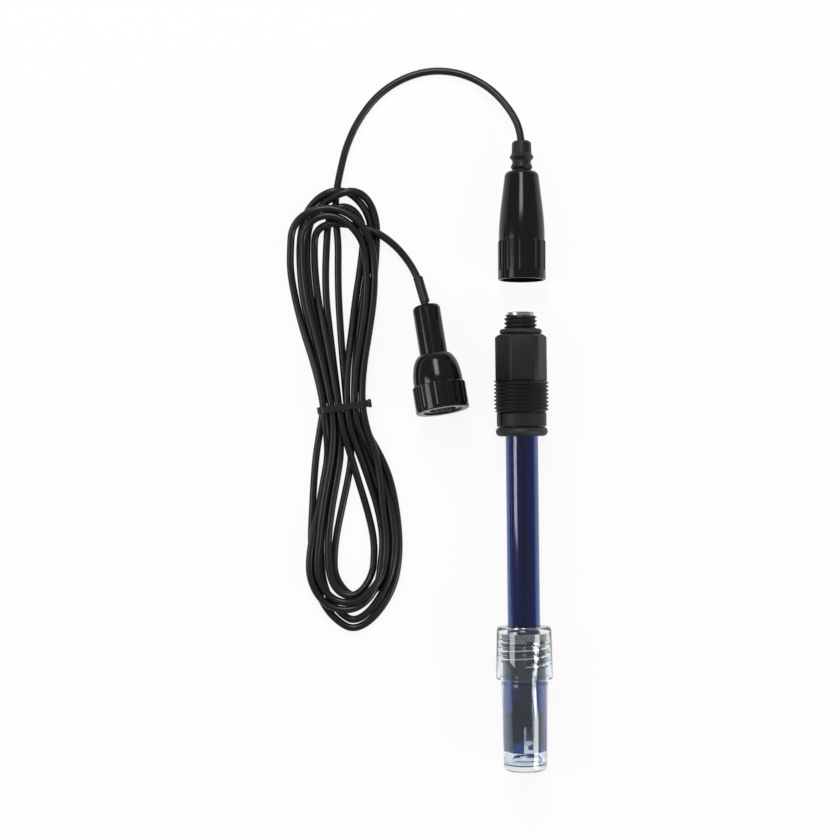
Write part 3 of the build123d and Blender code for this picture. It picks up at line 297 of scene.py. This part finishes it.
nodeFinishes = {
    "mouldedPolypropylene": ["slide_washer"],
    "polishedAbs": ["lead_shell", "plug_grip", "plug_cover", "lead_insert"],
    "nitrileRubber": ["stub_seal", "process_seal"],
    "softPvc": ["lead_boot", "tail_sleeve", "hank_tie"],
    "nickelledBrass": ["head_contact_ring", "head_contact_pin", "lead_ring_contact", "lead_centre_contact",
                       "bayonet_sleeve", "plug_body", "plug_washer", "plug_ferrule"],
    "goldPlate": ["plug_pin"],
    "chloridedSilver": ["measuring_wire", "reference_wire"],
    "turnedPtfe": ["head_insulator", "plug_insulator"],
    "greySilicone": ["upper_bung", "junction_ring", "plug_gasket"],
    "porousCeramic": ["diaphragm"],
    "bluePolycarbonate": ["shaft"],
    "clearSilicone": ["vial_seal"],
    "blownGlass": ["glass_electrode"],
}
for finishName, names in nodeFinishes.items():
    for name in names:
        dress(nodes[name], finishName)
dress(leadCable, "pvcJacket")


def drawProfile(name, profile, height):
    # a line of (along y, radius) points in mm, above an axis at this height, extruded from one vertex
    bpy.ops.object.select_all(action="DESELECT")
    first = profile[0]
    bpy.ops.mesh.primitive_plane_add(size=mm, location=(0, first[0] * mm, height + first[1] * mm))
    piece = bpy.context.object
    piece.name = name
    bpy.ops.object.transform_apply(location=True, rotation=True, scale=True)
    bpy.ops.object.mode_set(mode="EDIT")
    bpy.ops.mesh.select_mode(type="VERT")
    bpy.ops.mesh.merge(type="CENTER")
    for before, here in zip(profile, profile[1:]):
        step = (0, (here[0] - before[0]) * mm, (here[1] - before[1]) * mm)
        bpy.ops.mesh.extrude_vertices_move(TRANSFORM_OT_translate={"value": step})
    bpy.ops.mesh.select_all(action="SELECT")
    return piece


def tidyMesh():
    # in edit mode: doubles merged, faces outwards, back to object mode
    bpy.ops.mesh.select_all(action="SELECT")
    bpy.ops.mesh.remove_doubles(threshold=mergeBelow)
    bpy.ops.mesh.normals_make_consistent(inside=False)
    bpy.ops.object.mode_set(mode="OBJECT")


def turnOnAxis(name, profile, steps=96):
    # a piece turned on the electrode's axis from its profile
    piece = drawProfile(name, profile, axisHeight)
    bpy.ops.mesh.spin(steps=steps, angle=2 * math.pi, center=(0, 0, axisHeight), axis=(0, 1, 0))
    tidyMesh()
    return piece


def applyModifier(piece, kind, settings):
    bpy.ops.object.select_all(action="DESELECT")
    bpy.context.view_layer.objects.active = piece
    piece.select_set(True)
    modifier = piece.modifiers.new(kind, kind)
    for key, value in settings.items():
        setattr(modifier, key, value)
    bpy.ops.object.modifier_apply(modifier=modifier.name)


def combine(piece, operation, tool):
    # an exact union or difference with a tool piece, which stays
    applyModifier(piece, "BOOLEAN", {"operation": operation, "object": tool, "solver": "EXACT"})


def screwProfile(name, profile, pitch, turns, steps=72):
    # a helical surface: the profile of one pitch wound round the axis, then lifted to its height
    piece = drawProfile(name, profile, 0)
    bpy.ops.object.mode_set(mode="OBJECT")
    applyModifier(piece, "SCREW", {
        "axis": "Y", "angle": 2 * math.pi, "screw_offset": pitch * mm, "iterations": turns,
        "steps": steps, "render_steps": steps,
        "use_merge_vertices": True, "merge_threshold": mergeBelow,
    })
    bpy.ops.object.mode_set(mode="EDIT")
    bpy.ops.mesh.select_all(action="SELECT")
    bpy.ops.transform.translate(value=(0, 0, axisHeight))
    return piece


def cutAt(y, keepAbove):
    # in edit mode: everything on one side of a plane across the axis is cut off
    bpy.ops.mesh.select_all(action="SELECT")
    bpy.ops.mesh.bisect(
        plane_co=(0, y * mm, 0), plane_no=(0, 1, 0), use_fill=True,
        clear_inner=keepAbove, clear_outer=not keepAbove,
    )


def slimBetween(piece, low, high, factor):
    # in edit mode: the part between two stations is drawn in towards the axis
    bpy.ops.mesh.select_all(action="DESELECT")
    bpy.ops.object.mode_set(mode="OBJECT")
    for vertex in piece.data.vertices:
        vertex.select = low * mm <= vertex.co.y <= high * mm
    bpy.ops.object.mode_set(mode="EDIT")
    bpy.ops.transform.resize(value=(factor, 1, factor), center_override=(0, 0, axisHeight))


def joinPieces(pieces, name):
    bpy.ops.object.select_all(action="DESELECT")
    for piece in pieces:
        piece.select_set(True)
    bpy.context.view_layer.objects.active = pieces[0]
    bpy.ops.object.join()
    pieces[0].name = name
    return pieces[0]


def smooth(piece, degrees=35):
    bpy.ops.object.select_all(action="DESELECT")
    bpy.context.view_layer.objects.active = piece
    piece.select_set(True)
    bpy.ops.object.shade_smooth_by_angle(angle=math.radians(degrees))


def screwThread(name, thread):
    # one pitch wound round the axis from two turns below, cut off at both ends, drawn in where it runs out
    pitch, crest = thread["pitch"], thread["radius"]
    root, shoulder = crest - thread["depth"], crest - thread["crown"]
    start = thread["from"] - 2 * pitch
    radii = (root, root, shoulder, crest, shoulder, root, root)
    piece = screwProfile(name, [
        (start + share * pitch, radius) for share, radius in zip((0, *thread["shares"], 1), radii)
    ], pitch, thread["turns"])
    cutAt(thread["from"] - thread["below"], True)
    cutAt(thread["to"] + thread["above"], False)
    for low, high, factor in thread["runOut"]:
        slimBetween(piece, low, high, factor)
    tidyMesh()
    return piece


# head: turned blank with six flats, a neck, a bore, and two screw threads that reach into their neighbours.
# shares of a pitch are where root, flank and crest begin and end; the run-outs are stations and factors
head = {
    "hexFrom": 59.1, "hexTo": 76.5, "hexRadius": 9.55, "hexBevel": (1.08, 1.35), "hexSteps": 90,
    "flats": 6, "flat": 8.6, "turn": 4.3, "edge": 0.18, "edgeAngle": 28,
    "neckRadius": 5.8, "neckSteps": 72, "neckBelow": 0.5, "neckAbove": 0.1,
    "boreRadius": 5.0, "boreTo": 73.3, "boreAbove": 1, "smoothBelow": 32,
    "processThread": {
        "from": 47.6, "to": 59.1, "below": 0, "above": 0.2, "radius": 10.2, "depth": 0.82, "crown": 0.08,
        "pitch": 1.41, "turns": 12, "shares": (0.12, 0.42, 0.5, 0.58, 0.9),
        "runOut": ((47.5, 47.9, 0.945), (47.9, 48.3, 0.965), (48.3, 48.7, 0.985)),
    },
    "stubThread": {
        "from": 78.7, "to": 83.6, "below": 0.1, "above": 0, "radius": 6.1, "depth": 0.75, "crown": 0.06,
        "pitch": 1.55, "turns": 6, "shares": (0.14, 0.42, 0.5, 0.58, 0.86),
        "runOut": ((82.9, 83.25, 0.97), (83.25, 83.7, 0.93)),
    },
}
hexBlock = turnOnAxis("hexBlock", [
    (head["hexFrom"], 0),
    (head["hexFrom"], head["hexRadius"]),
    (head["hexTo"] - head["hexBevel"][0], head["hexRadius"]),
    (head["hexTo"], head["hexRadius"] - head["hexBevel"][1]),
    (head["hexTo"], 0),
], steps=head["hexSteps"])
bpy.ops.object.mode_set(mode="EDIT")
for side in range(head["flats"]):
    angle = math.radians(head["turn"] + 360 // head["flats"] * side)
    outwards = Vector((math.sin(angle), 0, math.cos(angle)))
    bpy.ops.mesh.select_all(action="SELECT")
    bpy.ops.mesh.bisect(
        plane_co=Vector((0, 0, axisHeight)) + outwards * head["flat"] * mm, plane_no=outwards,
        use_fill=True, clear_outer=True,
    )
tidyMesh()
applyModifier(hexBlock, "BEVEL", {
    "width": head["edge"] * mm, "segments": 2,
    "limit_method": "ANGLE", "angle_limit": math.radians(head["edgeAngle"]),
})

processThread = screwThread("processThread", head["processThread"])
stubThread = screwThread("stubThread", head["stubThread"])
neckFrom = head["hexTo"] - head["neckBelow"]
neckTo = head["stubThread"]["from"] + head["neckAbove"]
stubNeck = turnOnAxis("stubNeck", [
    (neckFrom, 0), (neckFrom, head["neckRadius"]), (neckTo, head["neckRadius"]), (neckTo, 0),
], steps=head["neckSteps"])
boreTop = head["stubThread"]["to"] + head["boreAbove"]
bore = turnOnAxis("bore", [
    (head["boreTo"], 0), (head["boreTo"], head["boreRadius"]), (boreTop, head["boreRadius"]), (boreTop, 0),
], steps=head["neckSteps"])
for piece in (stubThread, stubNeck, hexBlock):
    combine(piece, "DIFFERENCE", bore)
bpy.data.objects.remove(bore)
headBody = joinPieces([hexBlock, processThread, stubThread, stubNeck], "headBody")
smooth(headBody, head["smoothBelow"])
dress(headBody, "mouldedPolypropylene")
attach(headBody, "electrode")
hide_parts("head_body")
print("head modelled")


# storage vial: a rounded foot, a collar under the cap, and a neck with a helical thread
vial = {
    "bottom": -84.7, "floor": 2.3, "shoulder": -52.1, "top": -36.5,
    "bottomRadius": 7.95, "shoulderRadius": 8.65, "neckRadius": 8.1,
    "edge": 2.0, "edgeAngles": (0, 18, 36, 54, 72, 90),
    "collarFrom": 1.15, "collarFull": 0.95, "collarRise": 0.15, "collarEdge": 0.1, "lip": 0.3,
    "cavityBottom": 6.45, "cavityMouth": 6.9, "cavityEdge": 1.5, "cavityBreak": (0.5, 0.45),
    "threadRadius": 8.8, "threadFrom": -47.4, "threadWidth": 2.0, "pitch": 3.0, "turns": 3,
    "ridgeRoot": 0.2, "ridgeCrest": (0.28, 0.72),
}
vialFloor = vial["bottom"] + vial["floor"]
footLine = []
for degrees in vial["edgeAngles"]:
    angle = math.radians(degrees)
    footLine.append((
        vial["bottom"] + vial["edge"] * (1 - math.cos(angle)),
        vial["bottomRadius"] - vial["edge"] + vial["edge"] * math.sin(angle),
    ))
vialShell = turnOnAxis("vialShell", [
    (vial["bottom"], 0),
    *footLine,
    (vial["shoulder"] - vial["collarFrom"], vial["shoulderRadius"] - vial["collarRise"]),
    (vial["shoulder"] - vial["collarFull"], vial["shoulderRadius"]),
    (vial["shoulder"] - vial["collarEdge"], vial["shoulderRadius"]),
    (vial["shoulder"], vial["shoulderRadius"] - vial["collarEdge"]),
    (vial["shoulder"], vial["neckRadius"]),
    (vial["top"] - vial["lip"], vial["neckRadius"]),
    (vial["top"], vial["neckRadius"] - vial["lip"]),
    (vial["top"], vial["cavityMouth"]),
    (vialFloor + vial["cavityEdge"], vial["cavityBottom"]),
    (vialFloor + vial["cavityBreak"][0], vial["cavityBottom"] - vial["cavityBreak"][1]),
    (vialFloor, vial["cavityBottom"] - vial["cavityEdge"]),
    (vialFloor, 0),
])


def threadRidge(name, start, width, base, crest):
    # a closed helical ridge between two radii, with the pitch and turns that vial and cap share
    crestFrom, crestTo = vial["ridgeCrest"]
    ridge = screwProfile(name, [
        (start, base), (start + crestFrom * width, crest), (start + crestTo * width, crest),
        (start + width, base), (start, base),
    ], vial["pitch"], vial["turns"])
    bpy.ops.mesh.select_all(action="SELECT")
    bpy.ops.mesh.remove_doubles(threshold=mergeBelow)
    bpy.ops.mesh.fill_holes(sides=8)
    tidyMesh()
    return ridge


outerRidge = threadRidge(
    "outerRidge", vial["threadFrom"], vial["threadWidth"],
    vial["neckRadius"] - vial["ridgeRoot"], vial["threadRadius"],
)
combine(vialShell, "UNION", outerRidge)
bpy.data.objects.remove(outerRidge)
smooth(vialShell)
dress(vialShell, "clearPolystyrene")
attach(vialShell, "vial")
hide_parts("storage_vial")

# screw cap: a turned shell with a rounded top edge, a hole for the shaft, and a thread inside
cap = {
    "bottom": -50.7, "top": -31.5, "roof": 2.2, "hole": 6.35, "holeEdge": 0.2, "bore": 9.25,
    "radius": 10.5, "topRadius": 10.1, "foot": 0.3, "edge": 1.4, "edgeShares": (0.12, 0.5),
    "threadRadius": 8.3, "threadFrom": -45.9, "threadWidth": 1.9,
}
near, far = (share * cap["edge"] for share in cap["edgeShares"])
vialCap = turnOnAxis("vialCap", [
    (cap["bottom"], cap["bore"]),
    (cap["top"] - cap["roof"], cap["bore"]),
    (cap["top"] - cap["roof"], cap["hole"]),
    (cap["top"] - cap["holeEdge"], cap["hole"]),
    (cap["top"], cap["hole"] + cap["holeEdge"]),
    (cap["top"], cap["topRadius"] - cap["edge"]),
    (cap["top"] - near, cap["topRadius"] - far),
    (cap["top"] - far, cap["topRadius"] - near),
    (cap["top"] - cap["edge"], cap["topRadius"]),
    (cap["bottom"] + cap["foot"], cap["radius"]),
    (cap["bottom"], cap["radius"] - cap["foot"]),
    (cap["bottom"], cap["bore"]),
])
innerRidge = threadRidge(
    "innerRidge", cap["threadFrom"], cap["threadWidth"],
    cap["bore"] + vial["ridgeRoot"], cap["threadRadius"],
)
combine(vialCap, "UNION", innerRidge)
bpy.data.objects.remove(innerRidge)
smooth(vialCap)
dress(vialCap, "clearPolystyrene")
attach(vialCap, "screw_cap")
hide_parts("vial_cap")

# the solution fills the guard too, and reaches a little into every wall, so that no air film shows there
solution = {
    "bottom": -82.45, "foot": ((0, 5.0), (0.5, 6.03), (1.5, 6.5)), "top": -37.0, "topRadius": 6.95,
    "overlap": 0.05, "shaftBore": 4.8, "shaftRadius": 6.0, "tip": -77.6, "bungFoot": -63.0, "beyond": 1,
    "slotWidth": 3.5, "slotTop": -67.2, "slotTurn": 10,
    "bulb": 4.1, "bulbCentre": -71.3, "bulbSteps": 16, "stem": 3.1,
    "bubble": (0.3, -80.1, 13.5), "bubbleSize": (4.8, 2.3, 2.7), "smoothBelow": 40,
}
overlap = solution["overlap"]
liquid = turnOnAxis("storageSolution", [
    (solution["bottom"], 0),
    *((solution["bottom"] + rise, radius) for rise, radius in solution["foot"]),
    (solution["top"], solution["topRadius"]),
    (solution["top"], 0),
])
tip = solution["tip"] + overlap
shaftTop = solution["top"] + solution["beyond"]
innerWall, outerWall = solution["shaftBore"] + overlap, solution["shaftRadius"] - overlap
shaftCore = turnOnAxis("shaftCore", [
    (solution["bungFoot"], 0), (solution["bungFoot"], innerWall), (tip, innerWall), (tip, outerWall),
    (shaftTop, outerWall), (shaftTop, 0),
])
# the guard's slot: a cylinder across the shaft whose lower half is moved down past the tip
slotCentre = solution["slotTop"] - solution["slotWidth"] / 2
slotRadius = solution["slotWidth"] / 2 + overlap
bpy.ops.mesh.primitive_cylinder_add(
    vertices=48, radius=slotRadius * mm, depth=4 * solution["shaftRadius"] * mm,
    location=(0, slotCentre * mm, axisHeight), rotation=(0, math.radians(solution["slotTurn"]), 0),
)
slotShape = bpy.context.object
bpy.ops.object.transform_apply(location=True, rotation=True, scale=True)
rounding = 0.01  # mm, so that the vertices at its middle count as lower ones
for vertex in slotShape.data.vertices:
    vertex.select = vertex.co.y < (slotCentre + rounding) * mm
bpy.ops.object.mode_set(mode="EDIT")
bpy.ops.transform.translate(value=(0, (solution["tip"] - solution["slotTop"]) * mm, 0))
bpy.ops.object.mode_set(mode="OBJECT")
combine(shaftCore, "DIFFERENCE", slotShape)
bulbRadius, stemRadius = solution["bulb"] - overlap, solution["stem"] - overlap
joinAngle = math.asin(stemRadius / bulbRadius)
bulbLine = []
for step in range(solution["bulbSteps"] + 1):
    angle = step / solution["bulbSteps"] * (math.pi - joinAngle)
    bulbLine.append((solution["bulbCentre"] - bulbRadius * math.cos(angle), bulbRadius * math.sin(angle)))
stemTop = solution["bungFoot"] + solution["beyond"]
bulbCore = turnOnAxis("bulbCore", bulbLine + [(stemTop, stemRadius), (stemTop, 0)])
for core in (shaftCore, bulbCore):
    combine(liquid, "DIFFERENCE", core)
for helper in (shaftCore, slotShape, bulbCore):
    bpy.data.objects.remove(helper)
bpy.ops.mesh.primitive_uv_sphere_add(
    segments=40, ring_count=24, radius=mm,
    location=[value * mm for value in solution["bubble"]], scale=solution["bubbleSize"],
)
bubble = bpy.context.object
bpy.ops.object.transform_apply(location=True, rotation=True, scale=True)
combine(liquid, "DIFFERENCE", bubble)
bpy.data.objects.remove(bubble)
smooth(liquid, solution["smoothBelow"])
dress(liquid, "storageSolution")
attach(liquid, "vial")
print("vial modelled")


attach(leadCable, "electrode")
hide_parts("lead_cable", "tail_cable", "cable_hank")


# pale floor, with its shadow kept: part of it shows as plain white to the camera, through clear parts and
# in reflections, where a strength of 1 is white; size in metres
floor = {"size": 4.0, "colour": "#f2f2f2", "share": 0.9, "glossyShare": 0.5, "strength": 1.0}
bpy.ops.mesh.primitive_plane_add(size=floor["size"], location=(0, 0, 0))
floorPlane = bpy.context.object
floorPlane.name = "floorPlane"
floorMaterial = bpy.data.materials.new("paperFloor")
floorMaterial.use_nodes = True
tree = floorMaterial.node_tree
tree.nodes.clear()
path = addNode(tree, "ShaderNodeLightPath")
seen = addNode(tree, "ShaderNodeMath", {"operation": "MAXIMUM"}, {
    0: path.outputs["Is Camera Ray"], 1: path.outputs["Is Transmission Ray"],
})
direct = addNode(tree, "ShaderNodeMath", {"operation": "MULTIPLY"}, {0: seen.outputs[0]})
direct.inputs[1].default_value = floor["share"]
mirrored = addNode(tree, "ShaderNodeMath", {"operation": "MULTIPLY"}, {0: path.outputs["Is Glossy Ray"]})
mirrored.inputs[1].default_value = floor["glossyShare"]
share = addNode(tree, "ShaderNodeMath", {"operation": "MAXIMUM"}, {
    0: direct.outputs[0], 1: mirrored.outputs[0],
})
matt = addNode(tree, "ShaderNodeBsdfDiffuse", {"Color": linear(floor["colour"])})
glow = addNode(tree, "ShaderNodeEmission", {"Color": white, "Strength": floor["strength"]})
mixed = addNode(tree, "ShaderNodeMixShader", {}, {
    0: share.outputs[0], 1: matt.outputs[0], 2: glow.outputs[0],
})
addNode(tree, "ShaderNodeOutputMaterial", {}, {"Surface": mixed.outputs[0]})
floorPlane.data.materials.append(floorMaterial)

# a dim white world and three soft boxes, the one behind the head long and narrow: metres and watts
studio = {
    "worldStrength": 0.32,
    "behind": {"place": (-0.12, 0.78, 0.80), "aim": (-0.03, 0.06, 0), "size": (0.33, 0.7), "power": 6.5},
    "right": {"place": (0.95, -0.45, 0.62), "aim": (-0.02, 0.04, 0), "size": (0.35, 0.5), "power": 6},
    "left": {"place": (-1.0, 0.1, 0.75), "aim": (-0.04, 0.04, 0), "size": (0.35, 0.5), "power": 3.5},
}
world = bpy.data.worlds.new("studio")
bpy.context.scene.world = world
world.use_nodes = True
background = world.node_tree.nodes["Background"]
background.inputs["Color"].default_value = white
background.inputs["Strength"].default_value = studio["worldStrength"]
for name in ("behind", "right", "left"):
    box = studio[name]
    bpy.ops.object.light_add(type="AREA", location=box["place"])
    lamp = bpy.context.object
    lamp.name = name
    lamp.data.shape = "RECTANGLE"
    lamp.data.size, lamp.data.size_y = box["size"]
    lamp.data.energy = box["power"]
    direction = Vector(box["aim"]) - Vector(box["place"])
    lamp.rotation_euler = direction.to_track_quat("-Z", "Y").to_euler()
bpy.context.scene.view_settings.view_transform = "Standard"
print("stage lit")
